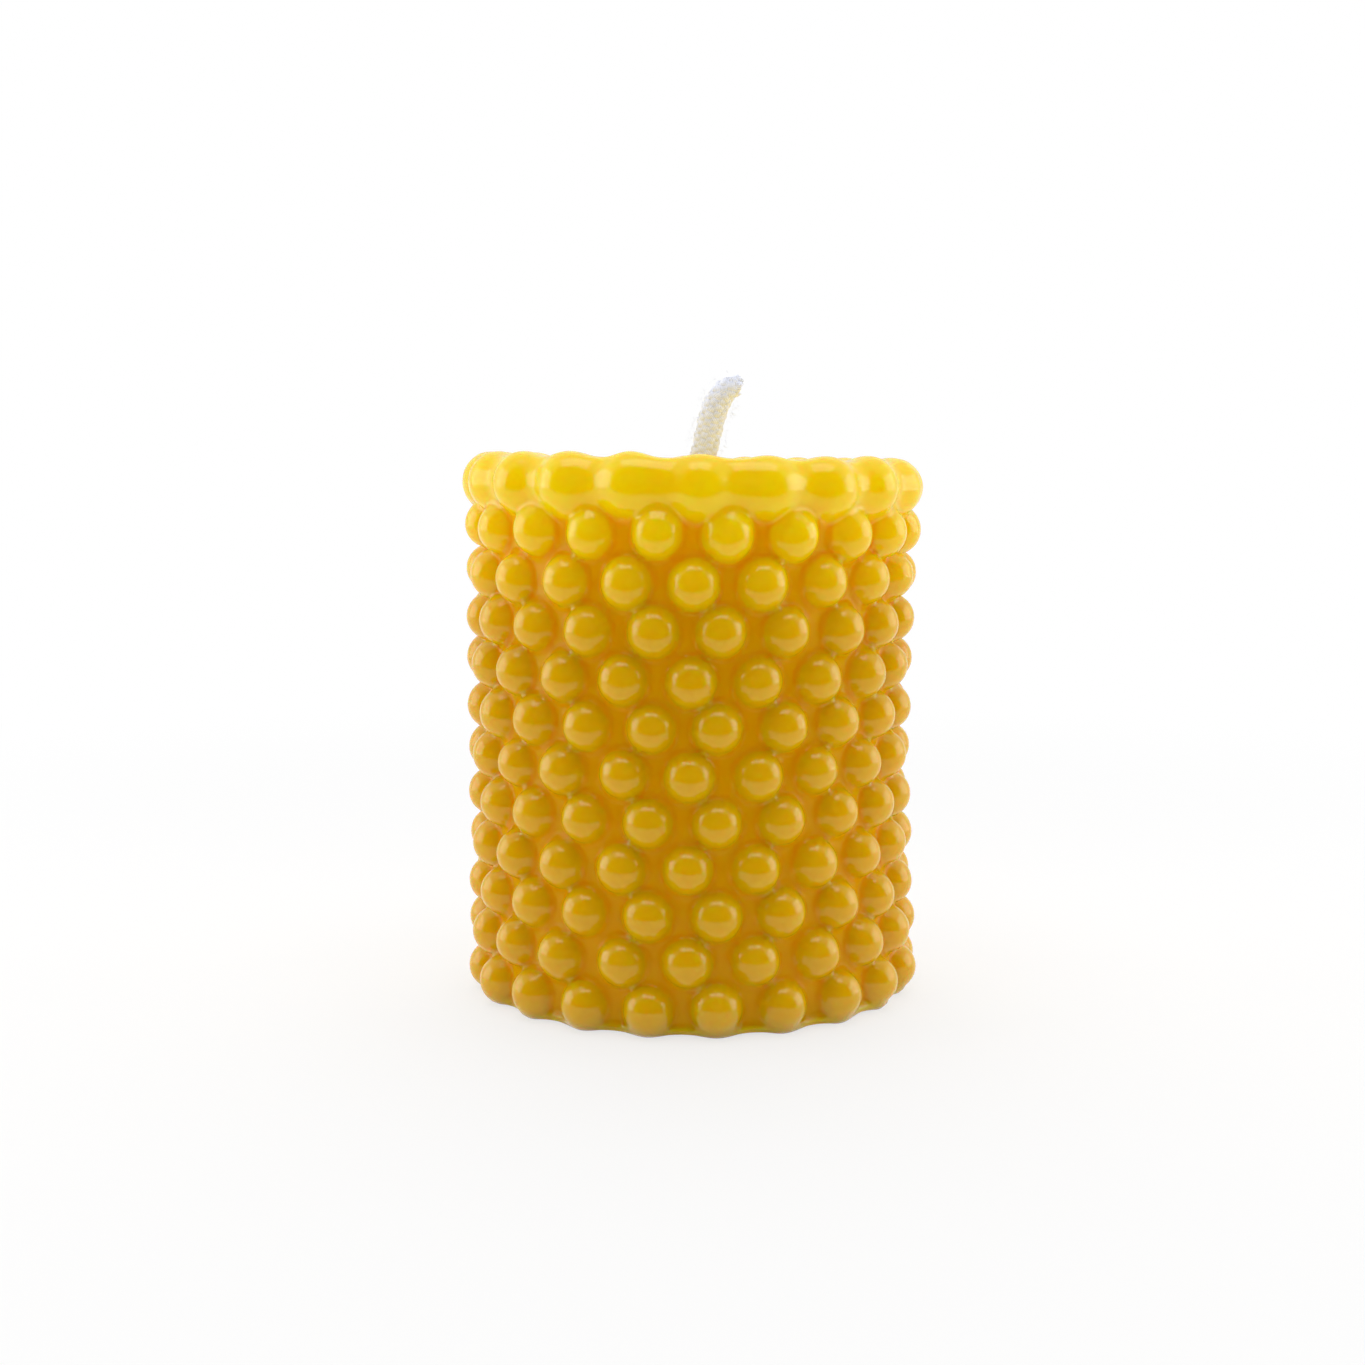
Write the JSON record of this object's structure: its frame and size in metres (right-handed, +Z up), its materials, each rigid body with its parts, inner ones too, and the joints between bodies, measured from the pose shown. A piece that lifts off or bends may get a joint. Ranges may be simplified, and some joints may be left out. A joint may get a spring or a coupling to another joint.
{
  "type": "pillar candle",
  "caption": "Short cast wax pillar candle with a wall of staggered round beads, a rim of larger beads and a bent braided wick.",
  "frame": {"origin": "middle of the flat base, on the surface that the candle stands on", "axes": "+Z up along the candle, -Y towards the front, +X to the right, the way the wick's free end leans"},
  "size_m": [0.063, 0.063, 0.0839],
  "materials": {
    "beeswax": "smooth translucent yellow beeswax with a soft gloss",
    "cotton_wick": "white braided cotton, tinted by wax at its root and cut end"
  },
  "bodies": {
    "root": {"wax_body": "beeswax", "wick": "cotton_wick"}
  },
  "joints": []
}
